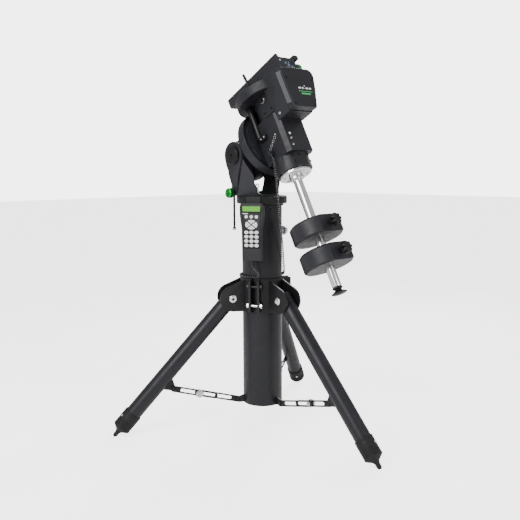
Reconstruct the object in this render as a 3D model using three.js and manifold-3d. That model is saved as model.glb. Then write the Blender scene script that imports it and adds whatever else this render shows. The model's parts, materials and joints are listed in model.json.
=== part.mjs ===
// German equatorial mount on a pier tripod, in millimetres, +Z up.
// The polar axis points towards -Y (north) and up; +X is west. The pier axis is vertical.
// Pieces are laid out from the pier axis on the floor; the last lines move the origin to the
// middle of the footprint.
import * as THREE from 'three';
import { mergeVertices } from 'three/addons/utils/BufferGeometryUtils.js';
import { ConvexGeometry } from 'three/addons/geometries/ConvexGeometry.js';
import Module from 'manifold-3d';

const wasm = await Module();
wasm.setup();

// ---------- driving dimensions ----------
const DEG = Math.PI / 180;
const GAP = 0.3;                    // clearance between separate pieces that touch

const LATITUDE = 28 * DEG;          // polar axis above the horizon, as shown
const AXES_MEET = [0, -95.2, 1039.2];   // where the polar and declination axes cross
const PIVOT_P = -150;               // latitude pivot, along the polar axis from there

const PIER_R = 70;
const PIER_WALL = 4;
const PIER_BOTTOM = 89;
const PIER_TOP = 796;
const TOP_PLATE_R = 76;
const TOP_PLATE_Z = 803;

const LEG_ANGLES = [-89, 151, 31];  // north leg, east leg, west leg (degrees round the pier)
const LEG_TILT = 41.65 * DEG;       // leg from vertical when spread
const LEG_PIVOT = { r: 112.4, z: 473.5 };
const LEG_LENGTH = 633.7;           // pivot to the ground point on the leg's axis
const LEG_R = 28;
const EAR_R = 45;
const EAR_INNER = 28.3;             // ear plates either side of the leg tube
const EAR_OUTER = 34.3;
const COLLAR_R = 78;
const COLLAR_Z = [427, 545];

const BAR_LENGTH = 160;             // brace bar, pivot to tip radius centre
const BAR_HEIGHT = 22;
const BAR_THICK = 4;
const PIER_LUG = { r: 92, z: 100 };
const LEG_LUG = { r: 321.5, z: 155.8 };
const BRACE_KNOB_AT = 93;           // along the outer bar

const AZ_BASE_R = 88;
const AZ_BASE_Z = [803.3, 830];
const AZ_KNOB = { y: 48, z: 840, x: [97, 115], r: 17 };
const ARM_X = 98;                   // outer face of each fork arm
const ARM_IN = 62;                  // inner face
const ARM_TOP_R = 46;

const RA_RING_R = 116;
const RA_SHAFT_R = 22;
const RA_WHEEL_R = 98;
const DEC_BODY_W = 57;
const DEC_DISC_R = 109.5;
const DEC_SHAFT_R = 20;
const DEC_TURNTABLE_R = 104;

const CW_SHAFT_R = 15.5;
const CW_SHAFT_END = -555;
const CW_R = 84;
const CW_FLAT = 70;                 // flat on the rim under each locking knob
const CW_UPPER_U = [-389.9, -330.4];
const CW_LOWER_U = [-486.4, -426.9];

const SADDLE_HALF = 139;
const SADDLE_U = [160.3, 202];      // underside and clamp floor
const SADDLE_KNOB = { y: 105, u: 191 };

const HANDSET_ANGLE = -150;
const HANDSET_R = [92, 114];
const HANDSET_Z = [614, 808];
const CABLE_R = 5;

// ---------- materials ----------
const paint = (color, roughness, metalness) =>
  new THREE.MeshStandardMaterial({ color, roughness, metalness });
const black = paint(0x1c1c1f, 0.55, 0.2);
const charcoal = paint(0x2a2a2e, 0.6, 0.2);
const steel = paint(0xc9c9cc, 0.3, 1);
const castIron = paint(0x33333a, 0.5, 0.4);
const green = paint(0x27a53a, 0.35, 0.5);
const rubber = paint(0x161616, 0.9, 0);
const bronze = paint(0xa07a3a, 0.4, 1);
const keyWhite = paint(0xe9ebe8, 0.6, 0);

// ---------- geometry helpers ----------
// One closed mesh with merged vertices, no slivers, and its faces pointing out.
function closed(geometry) {
  const bare = geometry.clone();
  for (const name of ['normal', 'uv']) {
    bare.deleteAttribute(name);
  }
  const merged = mergeVertices(bare, 1e-3);
  const p = merged.attributes.position;
  const index = merged.index.array;
  const kept = [];
  let volume = 0;
  const [a, b, c] = [new THREE.Vector3(), new THREE.Vector3(), new THREE.Vector3()];
  for (let i = 0; i < index.length; i += 3) {
    const [i0, i1, i2] = [index[i], index[i + 1], index[i + 2]];
    if (i0 === i1 || i1 === i2 || i2 === i0) {
      continue;
    }
    kept.push(i0, i1, i2);
    a.fromBufferAttribute(p, i0);
    b.fromBufferAttribute(p, i1);
    c.fromBufferAttribute(p, i2);
    volume += a.dot(b.cross(c));
  }
  if (volume < 0) {
    for (let i = 0; i < kept.length; i += 3) {
      [kept[i], kept[i + 1]] = [kept[i + 1], kept[i]];
    }
  }
  merged.setIndex(kept);
  return merged;
}

function toSolid(geometry) {
  const g = closed(geometry);
  return new wasm.Manifold(new wasm.Mesh({
    numProp: 3,
    vertProperties: new Float32Array(g.attributes.position.array),
    triVerts: new Uint32Array(g.index.array),
  }));
}

function toGeometry(solid) {
  const mesh = solid.getMesh();
  const g = new THREE.BufferGeometry();
  g.setAttribute('position', new THREE.BufferAttribute(new Float32Array(mesh.vertProperties), 3));
  g.setIndex(Array.from(mesh.triVerts));
  return g;
}

// Joins the pieces in add to base, then cuts away the pieces in cut.
function build(base, add = [], cut = []) {
  let solid = toSolid(base);
  for (const g of add) {
    solid = solid.add(toSolid(g));
  }
  for (const g of cut) {
    solid = solid.subtract(toSolid(g));
  }
  return toGeometry(solid);
}

const common = (a, b) => toGeometry(toSolid(a).intersect(toSolid(b)));

// Box from its lowest and highest values on each axis.
function box(x, y, z) {
  const g = new THREE.BoxGeometry(x[1] - x[0], y[1] - y[0], z[1] - z[0]);
  return g.translate((x[0] + x[1]) / 2, (y[0] + y[1]) / 2, (z[0] + z[1]) / 2);
}

// Turned piece about Z from [radius, height] points that start and end on the axis, or close.
function turned(profile, segments = 32) {
  const points = profile.map(([r, h]) => new THREE.Vector2(r, h));
  return new THREE.LatheGeometry(points, segments).rotateX(90 * DEG);
}

// Round bar about Z between two heights.
const rod = (r, z0, z1, segments = 24) => turned([[0, z0], [r, z0], [r, z1], [0, z1]], segments);

// Ring about Z with a through hole.
const ring = (r0, r1, z0, z1, segments = 32) =>
  turned([[r0, z0], [r1, z0], [r1, z1], [r0, z1], [r0, z0]], segments);

const alongX = (g) => g.rotateY(90 * DEG);
const alongMinusY = (g) => g.rotateX(90 * DEG);

function outline(points, holes = []) {
  const shape = new THREE.Shape(points.map(([x, y]) => new THREE.Vector2(x, y)));
  shape.holes = holes;
  return shape;
}

// Flat piece drawn in X and Z, with its thickness along Y from y0 to y1.
function slabXZ(shape, y0, y1, curveSegments = 12) {
  const g = new THREE.ExtrudeGeometry(shape, { depth: y1 - y0, bevelEnabled: false, curveSegments });
  return g.rotateX(90 * DEG).translate(0, y1, 0);
}

// Flat piece drawn in X and Y, standing from z0 to z1.
function slabXY(shape, z0, z1, curveSegments = 12) {
  const g = new THREE.ExtrudeGeometry(shape, { depth: z1 - z0, bevelEnabled: false, curveSegments });
  return g.translate(0, 0, z0);
}

// Flat piece drawn in Y and Z, with its thickness along X from x0 to x1.
function slabYZ(shape, x0, x1, curveSegments = 12) {
  const g = new THREE.ExtrudeGeometry(shape, { depth: x1 - x0, bevelEnabled: false, curveSegments });
  return g.rotateX(90 * DEG).rotateZ(90 * DEG).translate(x0, 0, 0);
}

const hull = (points) => new ConvexGeometry(points.map((q) => new THREE.Vector3(...q)));

function circlePoints(x, y, r, count) {
  return Array.from({ length: count }, (_, i) => {
    const t = (2 * Math.PI * i) / count;
    return [x + r * Math.cos(t), y + r * Math.sin(t)];
  });
}

// ---------- scene graph ----------
const mount = new THREE.Group();

function part(name, geometry, material, parent = mount) {
  const mesh = new THREE.Mesh(closed(geometry), material);
  mesh.name = name;
  parent.add(mesh);
  return mesh;
}

function group(position, parent = mount, rotation = [0, 0, 0]) {
  const g = new THREE.Group();
  g.position.set(...position);
  g.rotation.set(...rotation);
  parent.add(g);
  return g;
}

// ---------- pier ----------
function pierTube() {
  const tube = turned([
    [0, PIER_BOTTOM], [PIER_R, PIER_BOTTOM], [PIER_R, PIER_TOP],
    [PIER_R - PIER_WALL, PIER_TOP], [PIER_R - PIER_WALL, PIER_BOTTOM + 5], [0, PIER_BOTTOM + 5],
  ], 48);
  const lugs = LEG_ANGLES.flatMap((angle) => {
    const ear = outline([[PIER_R - 2, PIER_LUG.z - 10], [PIER_LUG.r, PIER_LUG.z - 10],
      [PIER_LUG.r + 8, PIER_LUG.z - 5], [PIER_LUG.r + 8, PIER_LUG.z + 5],
      [PIER_LUG.r, PIER_LUG.z + 10], [PIER_R - 2, PIER_LUG.z + 18]]);
    const pin = rod(4, -3, 7, 12).rotateX(90 * DEG).translate(PIER_LUG.r, 0, PIER_LUG.z);
    return [slabXZ(ear, 0.4, 6), pin].map((g) => g.rotateZ(angle * DEG));
  });
  return build(tube, lugs);
}

part('pier_tube', pierTube(), charcoal);

// Lid of the pier, with the azimuth pivot and the peg that the azimuth screws push.
const topPlate = turned([
  [0, PIER_TOP - 12], [PIER_R - PIER_WALL - GAP, PIER_TOP - 12], [PIER_R - PIER_WALL - GAP, PIER_TOP + GAP],
  [TOP_PLATE_R, PIER_TOP + GAP], [TOP_PLATE_R, TOP_PLATE_Z], [14, TOP_PLATE_Z], [14, 818], [0, 818],
], 40);
const PEG = { y: AZ_KNOB.y, r: 7, top: 848 };
part('pier_top_plate',
  build(topPlate, [rod(PEG.r, TOP_PLATE_Z - 2, PEG.top, 16).translate(0, PEG.y, 0)]), black);

// ---------- legs ----------
function legBracket() {
  const sector = new THREE.Shape();
  sector.absarc(0, 0, COLLAR_R, -50 * DEG, 50 * DEG, false);
  sector.absarc(0, 0, PIER_R + GAP + 0.1, 50 * DEG, -50 * DEG, true);
  const collar = slabXY(sector, ...COLLAR_Z, 10);
  const ears = [-1, 1].map((side) => {
    const disc = circlePoints(LEG_PIVOT.r, LEG_PIVOT.z, EAR_R, 24);
    const profile = [...disc, [60, COLLAR_Z[0] + 1], [60, COLLAR_Z[1] - 1]];
    return hull(profile.flatMap(([x, z]) => [[x, side * EAR_INNER, z], [x, side * EAR_OUTER, z]]));
  });
  const flanges = [-1, 1].map((side) => {
    const plate = box([72, 100], [12, 19], [COLLAR_Z[0] + 4, COLLAR_Z[1] - 4]);
    return plate.scale(1, -side, 1).rotateZ(side * 60 * DEG);
  });
  const tubeSpace = rod(PIER_R + GAP + 0.1, COLLAR_Z[0] - 5, COLLAR_Z[1] + 5, 48);
  const boltHole = alongMinusY(rod(8.4, -60, 60, 16)).translate(LEG_PIVOT.r, 0, LEG_PIVOT.z);
  return build(collar, [...ears, ...flanges], [tubeSpace, boltHole]);
}

// In the leg's own frame: pivot at the origin, the leg runs down -Z, the pier is towards -X.
const LUG_ALONG = 376.3;
const LUG_OFF = 54.9;

function legTube() {
  const tube = ring(LEG_R - 3, LEG_R, -(LEG_LENGTH - 46), 16, 32);
  const ear = outline([[-LEG_R + 2, -LUG_ALONG + 26], [-LUG_OFF, -LUG_ALONG + 9],
    [-LUG_OFF - 8, -LUG_ALONG + 4], [-LUG_OFF - 8, -LUG_ALONG - 5],
    [-LUG_OFF, -LUG_ALONG - 9], [-LEG_R + 2, -LUG_ALONG - 26]]);
  const pin = rod(4, -7, 3, 12).rotateX(90 * DEG).translate(-LUG_OFF, 0, -LUG_ALONG);
  const inside = rod(LEG_R - 2.9, -LUG_ALONG - 40, -LUG_ALONG + 40);
  const hole = alongMinusY(rod(8.4, -40, 40, 16));
  const lug = build(slabXZ(ear, -6, -0.4), [pin], [inside]);
  return build(tube, [lug], [hole]);
}

function legFoot() {
  const shoulder = LEG_LENGTH - 41;
  const sleeveTop = LEG_LENGTH - 106;
  const nub = 8;
  const centre = LEG_LENGTH - nub;
  const nose = [60, 30, 0].map((t) => [nub * Math.sin(t * DEG), -centre - nub * Math.cos(t * DEG)]);
  const boot = turned([
    [0, -(shoulder - 3)], [LEG_R + GAP, -(shoulder - 3)], [LEG_R + GAP, -sleeveTop],
    [31.5, -sleeveTop], [31.5, -shoulder], [25, -(shoulder + 5)], [13, -(shoulder + 13)],
    [8.5, -(shoulder + 20)], [nub, -centre], ...nose,
  ], 28);
  boot.rotateY(-LEG_TILT).translate(LEG_PIVOT.r, 0, LEG_PIVOT.z);
  return build(boot, [], [box([300, 700], [-60, 60], [-40, 0])]);
}

function pivotBolt() {
  const head = 13;
  return alongMinusY(turned([
    [0, -42], [head, -42], [head, -EAR_OUTER - GAP], [8, -EAR_OUTER - GAP],
    [8, EAR_OUTER + GAP], [head, EAR_OUTER + GAP], [head, 42], [0, 42],
  ], 16));
}

function braceBar() {
  const half = BAR_HEIGHT / 2;
  const shape = new THREE.Shape();
  shape.absarc(BAR_LENGTH - half, 0, half, -90 * DEG, 90 * DEG, false);
  shape.absarc(0, 0, half, 90 * DEG, 270 * DEG, false);
  const slot = new THREE.Path();
  slot.absarc(BAR_LENGTH - 16, 0, 6, -90 * DEG, 90 * DEG, false);
  slot.absarc(30, 0, 6, 90 * DEG, 270 * DEG, false);
  const hole = new THREE.Path();
  hole.absarc(0, 0, 4.5, 0, 360 * DEG, false);
  shape.holes = [slot, hole];
  return slabXZ(shape, 0, BAR_THICK, 6);
}

const braceSlope = Math.atan2(LEG_LUG.z - PIER_LUG.z, LEG_LUG.r - PIER_LUG.r);

LEG_ANGLES.forEach((angle, i) => {
  const n = i + 1;
  const sector = group([0, 0, 0], mount, [0, 0, angle * DEG]);
  part(`leg_bracket_${n}`, legBracket(), black, sector);
  part(`leg_foot_${n}`, legFoot(), rubber, sector);
  const pivot = group([LEG_PIVOT.r, 0, LEG_PIVOT.z], sector);
  part(`leg_pivot_bolt_${n}`, pivotBolt(), steel, pivot);
  const leg = group([0, 0, 0], pivot, [0, -LEG_TILT, 0]);
  part(`leg_tube_${n}`, legTube(), charcoal, leg);
  const inner = group([PIER_LUG.r, 0, PIER_LUG.z], sector, [0, -braceSlope, 0]);
  part(`brace_inner_bar_${n}`, braceBar().translate(0, -BAR_THICK - 0.2, 0), black, inner);
  const outer = group([LEG_LUG.r, 0, LEG_LUG.z], sector, [0, Math.PI - braceSlope, 0]);
  part(`brace_outer_bar_${n}`, braceBar().translate(0, 0.2, 0), black, outer);
  const knob = turned([[0, 0], [14, 0], [15, 3], [15, 9], [12, 12], [7, 13], [0, 13]], 16);
  const knobGeometry = alongMinusY(knob).scale(1, -1, 1).translate(BRACE_KNOB_AT, 0.2 + BAR_THICK + GAP, 0);
  part(`brace_knob_${n}`, knobGeometry, steel, outer);
});

// ---------- azimuth base and latitude fork ----------
const pivotY = AXES_MEET[1] - PIVOT_P * Math.cos(LATITUDE);
const pivotZ = AXES_MEET[2] + PIVOT_P * Math.sin(LATITUDE);
const pegSlot = () => box([-18.5, 18.5], [PEG.y - 9, PEG.y + 9], [795, 852]);

const azDisc = turned([
  [0, 822], [14.4, 822], [14.4, AZ_BASE_Z[0]], [AZ_BASE_R - 2, AZ_BASE_Z[0]], [AZ_BASE_R, AZ_BASE_Z[0] + 2],
  [AZ_BASE_R, AZ_BASE_Z[1] - 2], [AZ_BASE_R - 2, AZ_BASE_Z[1]], [0, AZ_BASE_Z[1]],
], 48);
part('azimuth_base', build(azDisc, [], [pegSlot()]), black);

function altFork() {
  const base = AZ_BASE_Z[1] + GAP;
  // side view: straight front and back edges rising to a round top at the pivot
  const arc = Array.from({ length: 13 }, (_, i) => {
    const t = (-20 + (215 * i) / 12) * DEG;
    return [pivotY + ARM_TOP_R * Math.cos(t), pivotZ + ARM_TOP_R * Math.sin(t)];
  });
  const side = outline([[-32, base], [55, base], [55, 870], [65, 919], ...arc, [-12, 942], [-30, 900]]);
  const sideBlock = slabYZ(side, -ARM_X, ARM_X);
  // front view: the outer faces lean in below the arms, and the RA body swings in the middle
  const front = outline([[-84, base], [84, base], [ARM_X, 900], [ARM_X, 1020], [ARM_IN, 1020],
    [ARM_IN, 885], [48, 843], [40, 834.3], [-40, 834.3], [-48, 843], [-ARM_IN, 885],
    [-ARM_IN, 1020], [-ARM_X, 1020], [-ARM_X, 900]]);
  const arms = common(sideBlock, slabXZ(front, -60, 110));
  // sloping corner faces at the front of each arm
  const corners = [-1, 1].map((s) => hull([
    [s * -82.6, 37.3, 820], [s * -111.5, -32.7, 1030], [s * -44.5, -30, 820], [s * -98, -30, 1030],
    [s * -150, 37.3, 820], [s * -150, -32.7, 1030], [s * -150, -90, 820], [s * -150, -90, 1030],
    [s * -44.5, -90, 820], [s * -98, -90, 1030]]));
  const web = box([-26, 26], [50, 86], [base, 856]);
  const caps = alongX(rod(16.4, -120, 120)).translate(0, pivotY, pivotZ);
  const studs = alongX(rod(5.4, -120, 120, 16)).translate(0, AZ_KNOB.y, AZ_KNOB.z);
  const screw = alongMinusY(rod(8.4, -120, -40, 16)).translate(0, 0, 843);
  return build(arms, [web], [...corners, caps, studs, screw, pegSlot()]);
}

part('alt_fork', altFork(), charcoal);

for (const [name, s] of [['east', -1], ['west', 1]]) {
  const cap = alongX(turned([
    [0, 40], [16, 40], [16, ARM_X + GAP], [32.5, ARM_X + GAP], [32.5, 103], [29, 106], [0, 106],
  ], 28)).scale(s, 1, 1).translate(0, pivotY, pivotZ);
  part(`pivot_cap_${name}`, cap, black);
  const knob = alongX(turned([
    [0, 19.5], [5, 19.5], [5, 89], [8, 92], [8, AZ_KNOB.x[0]], [AZ_KNOB.r - 2, AZ_KNOB.x[0]],
    [AZ_KNOB.r, AZ_KNOB.x[0] + 2], [AZ_KNOB.r, AZ_KNOB.x[1] - 3], [AZ_KNOB.r - 4, AZ_KNOB.x[1]],
    [0, AZ_KNOB.x[1]],
  ], 20)).scale(s, 1, 1).translate(0, AZ_KNOB.y, AZ_KNOB.z);
  part(`azimuth_knob_${name}`, knob, green);
}

// Latitude screw with its sliding cross bar, hanging at the back.
const screwBody = alongMinusY(turned([
  [0, -164], [13, -164], [13, -140], [8, -138], [8, -60], [6, -58], [0, -58],
], 20)).translate(0, 0, 843);
const crossBar = turned([
  [0, 700], [6, 700], [6, 710], [4, 711], [4, 851], [6, 852], [6, 860], [0, 860],
], 12).translate(0, 152, 0);
part('latitude_screw', build(screwBody, [crossBar]), black);

// ---------- head: local X = west, local Y = away from the pole, local Z = towards the saddle ----------
const head = group(AXES_MEET, mount, [-LATITUDE, 0, 0]);
const inHead = (w, p, u) => box(w, [-p[1], -p[0]], u);
const onPolar = (g) => alongMinusY(g);   // turned about Z becomes turned about the polar axis

function raHousing() {
  const shell = onPolar(turned([
    [22.4, -245], [58, -245], [62, -241], [78, -190], [78, -108], [82, -103], [RA_RING_R, -84],
    [RA_RING_R, -54.5], [RA_RING_R - 1.5, -53], [113, -53], [113, -81], [24, -81], [24, -92],
    [72, -92], [72, -190], [56, -232], [22.4, -232], [22.4, -245],
  ], 48));
  const sides = [-1, 1].map((s) => inHead([Math.min(s * 56, s * 130), Math.max(s * 56, s * 130)],
    [-260, -104], [-130, 130]));
  const walls = [-1, 1].map((s) => common(
    inHead([Math.min(s * 50, s * 56), Math.max(s * 50, s * 56)], [-236, -90], [-90, 90]),
    onPolar(turned([[0, -243], [60, -243], [77, -190], [77, -88], [0, -88]], 48))));
  const pivots = alongX(rod(16.4, -90, 90)).translate(0, -PIVOT_P, 0);
  return build(shell, walls, [...sides, pivots]);
}

part('ra_housing', raHousing(), charcoal, head);
part('ra_shaft', onPolar(ring(13, RA_SHAFT_R, -244, -64.4)), steel, head);
part('ra_worm_wheel', onPolar(ring(RA_SHAFT_R + GAP, RA_WHEEL_R, -79.5, -66, 48)), bronze, head);
part('ra_worm', alongX(rod(6, -15, 15, 16)).translate(0, 72.8, -105.2), steel, head);
part('ra_motor', inHead([-19, 19], [-138, -104], [26, 64]), black, head);

// Half width and front edge of the motor box, which grows towards the saddle.
const boxHalf = (u) => 52 + 0.165 * (u - 12);
const boxFront = (u) => 118 + 0.125 * (u - 12);

function decHousing() {
  const hub = onPolar(rod(108, -64, -56, 48));
  const turret = onPolar(rod(100, -57, -49.7, 48));
  const bodyOutline = outline([[-DEC_BODY_W, 50], [DEC_BODY_W, 50], [DEC_BODY_W, -50],
    [48, -66], [-48, -66], [-DEC_BODY_W, -50]]);
  const body = slabXY(bodyOutline, -100, 47);
  const behindRing = inHead([-70, 70], [-50, 80], [-160, -90]);
  const collar = common(rod(62, -150, -99, 40), behindRing);
  const neck = rod(52, 46, 121, 32);
  const wormBlock = inHead([-60, 60], [15, 62], [46, 121]);
  const motorBox = hull([12, 120, 157].flatMap((u) => [
    [-boxHalf(u), -60, u], [boxHalf(u), -60, u],
    [-boxHalf(u), -boxFront(u), u], [boxHalf(u), -boxFront(u), u]]));
  const disc = turned([[0, 120], [DEC_DISC_R - 2, 120], [DEC_DISC_R, 122], [DEC_DISC_R, 151],
    [DEC_DISC_R - 2, 153], [0, 153]], 48);
  const cup = rod(DEC_TURNTABLE_R + 1, 125, 153, 48);
  const bore = rod(DEC_SHAFT_R + 0.5, -151, 126, 28);
  const boss = rod(57, 152, 165, 32);
  const motorSpace = inHead([-46, 46], [66, 145], [22, 118]);
  const wormSpace = inHead([-24, 24], [90, 112], [127, 145]);
  return build(hub, [turret, body, collar, neck, wormBlock, motorBox, disc],
    [cup, bore, boss, motorSpace, wormSpace]);
}

part('dec_housing', decHousing(), charcoal, head);

function decCover() {
  const back = [14, 120, 157].flatMap((u) => [
    [-boxHalf(u), -boxFront(u) - GAP, u], [boxHalf(u), -boxFront(u) - GAP, u]]);
  const face = [[52, 14], [59, 48], [67, 82], [72, 118], [70, 132], [62, 141], [50, 146]]
    .flatMap(([w, u]) => {
      const p = 145 + 0.135 * (u - 14);
      return [[-w, -p, u], [w, -p, u]];
    });
  return build(hull([...back, ...face]), [], [inHead([-44, 44], [110, 139], [24, 116])]);
}

part('dec_front_cover', decCover(), charcoal, head);
part('dec_motor', inHead([-20, 20], [74, 112], [40, 84]), black, head);
part('dec_worm', alongX(rod(6, -18, 18, 16)).translate(0, -99, 134), steel, head);
part('dec_worm_wheel', ring(DEC_SHAFT_R + GAP, 92, 128, 140, 48), bronze, head);

// The declination shaft carries the turntable that the saddle is bolted to.
part('dec_shaft', rod(DEC_SHAFT_R, -149.5, 145.7, 28), steel, head);
part('dec_turntable', turned([[0, 146], [DEC_TURNTABLE_R, 146], [DEC_TURNTABLE_R, 152.7],
  [56, 152.7], [56, SADDLE_U[0] - GAP], [0, SADDLE_U[0] - GAP]], 48), black, head);

// ---------- counterweights ----------
const shaftBore = CW_SHAFT_R + GAP;
part('shaft_flange', turned([[shaftBore, -175], [24, -175], [24, -160], [55, -160], [55, -150.3],
  [shaftBore, -150.3], [shaftBore, -175]], 40), steel, head);
part('counterweight_shaft', turned([[0, CW_SHAFT_END], [14, CW_SHAFT_END],
  [CW_SHAFT_R, CW_SHAFT_END + 2], [CW_SHAFT_R, -151], [0, -151]], 28), steel, head);
const capTop = CW_SHAFT_END - GAP;
part('shaft_end_cap', turned([[0, capTop - 25], [20, capTop - 25], [26, capTop - 21], [26, capTop - 18],
  [11, capTop - 11], [11, capTop - 8], [17, capTop - 5], [17, capTop], [0, capTop]], 24), black, head);

for (const [name, [low, high]] of [['upper', CW_UPPER_U], ['lower', CW_LOWER_U]]) {
  const weight = turned([[shaftBore, low], [CW_R - 6, low], [CW_R, low + 6], [CW_R, high - 6],
    [CW_R - 6, high], [shaftBore, high], [shaftBore, low]], 44);
  const flat = inHead([-90, 90], [CW_FLAT, 120], [low - 5, high + 5]);
  const middle = (low + high) / 2;
  const threaded = onPolar(rod(6.3, CW_SHAFT_R, 100, 16)).translate(0, 0, middle);
  part(`counterweight_${name}`, build(weight, [], [flat, threaded]), castIron, head);
  const knob = onPolar(turned([[0, 17], [6, 17], [6, CW_FLAT + GAP], [9, CW_FLAT + GAP], [9, 80],
    [18, 83], [18, 100], [15, 104], [0, 104]], 14)).translate(0, 0, middle);
  part(`counterweight_knob_${name}`, knob, black, head);
}

// ---------- saddle ----------
const saddleShape = outline([[-46, SADDLE_U[0]], [46, SADDLE_U[0]], [46, 179], [33, 179],
  [33, SADDLE_U[1]], [-33.5, SADDLE_U[1]], [-38, 213], [-46, 213]]);
const saddleHoles = [-1, 1].map((s) =>
  alongX(rod(6.3, 5, 60, 12)).translate(0, s * SADDLE_KNOB.y, SADDLE_KNOB.u));
const rearStep = box([-50, 50], [105, SADDLE_HALF + 1], [SADDLE_U[0] - 1, 179]);
part('saddle_plate',
  build(slabXZ(saddleShape, -SADDLE_HALF, SADDLE_HALF), [], [...saddleHoles, rearStep]), charcoal, head);

// Moving jaw: slides towards the fixed one over the clamp floor.
const jawShape = outline([[46, 180], [58, 180], [58, 214], [55, 217], [38, 217],
  [33 + GAP, SADDLE_U[1] + GAP], [46, SADDLE_U[1] + GAP]]);
const jawHoles = [-1, 1].map((s) =>
  alongX(rod(6.3, 40, 70, 12)).translate(0, s * SADDLE_KNOB.y, SADDLE_KNOB.u));
const JAW_FOOT_END = 121;           // only the lip runs on past this, clear of the knobs
const jawEnds = [[-SADDLE_HALF - 1, -JAW_FOOT_END], [JAW_FOOT_END, SADDLE_HALF + 1]]
  .map((y) => box([40, 60], y, [179, SADDLE_U[1] + GAP]));
part('saddle_jaw',
  build(slabXZ(jawShape, -SADDLE_HALF, SADDLE_HALF), [], [...jawHoles, ...jawEnds]), black, head);

for (const [name, s] of [['front', -1], ['rear', 1]]) {
  const knob = alongX(turned([[0, 20], [6, 20], [6, 58 + GAP], [9, 58 + GAP], [9, 66], [15, 67],
    [15, 84], [12, 87], [0, 87]], 16)).translate(0, s * SADDLE_KNOB.y, SADDLE_KNOB.u);
  part(`saddle_knob_${name}`, knob, green, head);
}

// Declination clutch lever on the east side of the saddle.
const leverHub = alongX(rod(8, -62, -46 - GAP, 16)).translate(0, -5, 172);
const leverLink = box([-84, -60], [-18, 0], [166.5, 174]);
const leverRod = rod(3.5, 0, 46, 12).rotateX(-8 * DEG).translate(-80, -13, 172);
part('dec_clutch_lever', build(leverHub, [leverLink, leverRod]), black, head);

// ---------- handset on the azimuth base ----------
const hand = group([0, 0, 0], mount, [0, 0, HANDSET_ANGLE * DEG]);
const holder = build(box([84, 91.7], [-25, 25], [700, 828]), [],
  [rod(AZ_BASE_R + GAP, 690, 840, 48)]);
part('handset_bracket', holder, black, hand);

function handsetBody() {
  const shape = outline([[-34, HANDSET_Z[0]], [34, HANDSET_Z[0]], [35, 720], [42, 768], [42, 800],
    [36, HANDSET_Z[1]], [-36, HANDSET_Z[1]], [-42, 800], [-42, 768], [-35, 720]]);
  const body = slabYZ(shape, ...HANDSET_R);
  const pocket = box([HANDSET_R[1] - 4, 130], [-31, 31], [655, 772]);
  const socket = rod(6, HANDSET_Z[0] - 14, HANDSET_Z[0] + 2, 12).translate(103, 0, 0);
  return build(body, [socket], [pocket]);
}

part('handset_body', handsetBody(), charcoal, hand);

function keypad() {
  const mat = box([111.6, 113.2], [-30.5, 30.5], [655.5, 771.5]);
  const keyAt = (y, z, halfWidth = 7.5, halfHeight = 5.6) =>
    alongX(rod(1, 112.5, 115.5, 10)).scale(1, halfWidth, halfHeight).translate(0, y, z);
  const keys = [];
  for (const y of [-18, 0, 18]) {
    keys.push(keyAt(y, 762.5, 5.5, 5.5));
    for (let row = 0; row < 4; row += 1) {
      keys.push(keyAt(y, 710 - 14.7 * row));
    }
  }
  keys.push(keyAt(0, 736, 21, 15.5));
  return build(mat, keys);
}

part('handset_keypad', keypad(), keyWhite, hand);

// ---------- handset cable ----------
// It leaves the plug on the declination body, hangs in front of the fork and the pier, rests on the
// leg collar, goes round to the handset and up into its socket.
const CABLE_UPPER = [[-66, -126.3, 961.5], [-66, -132.4, 954.2], [-67.5, -139, 943], [-69.5, -144, 922],
  [-65, -144.5, 889], [-52, -134, 856], [-34.6, -120.4, 812]];
const CABLE_LOWER = [[-34.4, -120.2, 811.6], [-17.2, -106.4, 765], [1.6, -93.7, 718], [20, -80.8, 671],
  [37.3, -67, 624], [53.4, -54, 580], [62.1, -44.5, 557], [67.5, -35.9, 551], [75.8, -10.6, 550.6],
  [74.8, 15.9, 550.6], [64.9, 40.5, 550.6], [47.1, 60.3, 550.6], [23.6, 72.8, 550.6],
  [-2.7, 76.5, 550.6], [-28.7, 70.9, 550.6], [-51.2, 56.8, 550.6], [-67.5, 35.9, 550.6],
  [-75.8, 10.6, 550.6], [-74.8, -15.9, 550.6], [-68.8, -33.5, 551], [-63.5, -45.5, 553],
  [-64.6, -53.6, 560], [-72.5, -56.5, 571], [-83, -54, 583], [-89, -51.5, 593], [-89.2, -51.5, 599.7]];

function cable(points, steps) {
  const section = outline(circlePoints(0, 0, CABLE_R, 8));
  const path = new THREE.CatmullRomCurve3(points.map((q) => new THREE.Vector3(...q)), false, 'centripetal');
  return new THREE.ExtrudeGeometry(section, { steps, bevelEnabled: false, extrudePath: path });
}

part('handset_cable_upper', cable(CABLE_UPPER, 9), rubber);
part('handset_cable_lower', cable(CABLE_LOWER, 40), rubber);

// Plug in the socket on the east side of the declination body, its neck turned forward and down.
const plugNeck = rod(5.5, -12, -2, 10).rotateX(-40 * DEG).translate(-66, 0, 0);
const plug = build(box([-73, -DEC_BODY_W - 0.4], [-6.5, 6.5], [-5, 8]), [plugNeck]);
part('cable_plug', plug.translate(0, -118.3, 971), keyWhite);

// ---------- origin: middle of the footprint, on the floor ----------
mount.updateMatrixWorld(true);
const bounds = new THREE.Box3().setFromObject(mount, true);
const centre = bounds.getCenter(new THREE.Vector3());
mount.position.set(-centre.x, -centre.y, -bounds.min.z);
mount.updateMatrixWorld(true);

export default mount;
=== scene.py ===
"""Looks of the equatorial mount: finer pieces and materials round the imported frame.

Metres in the row frame. Shapes are drawn in millimetres in the frame of the assembly that they
sit on (pier, leg, head, handset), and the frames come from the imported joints.
"""
import json
import math

import bmesh
import bpy
from mathutils import Matrix, Vector


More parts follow.
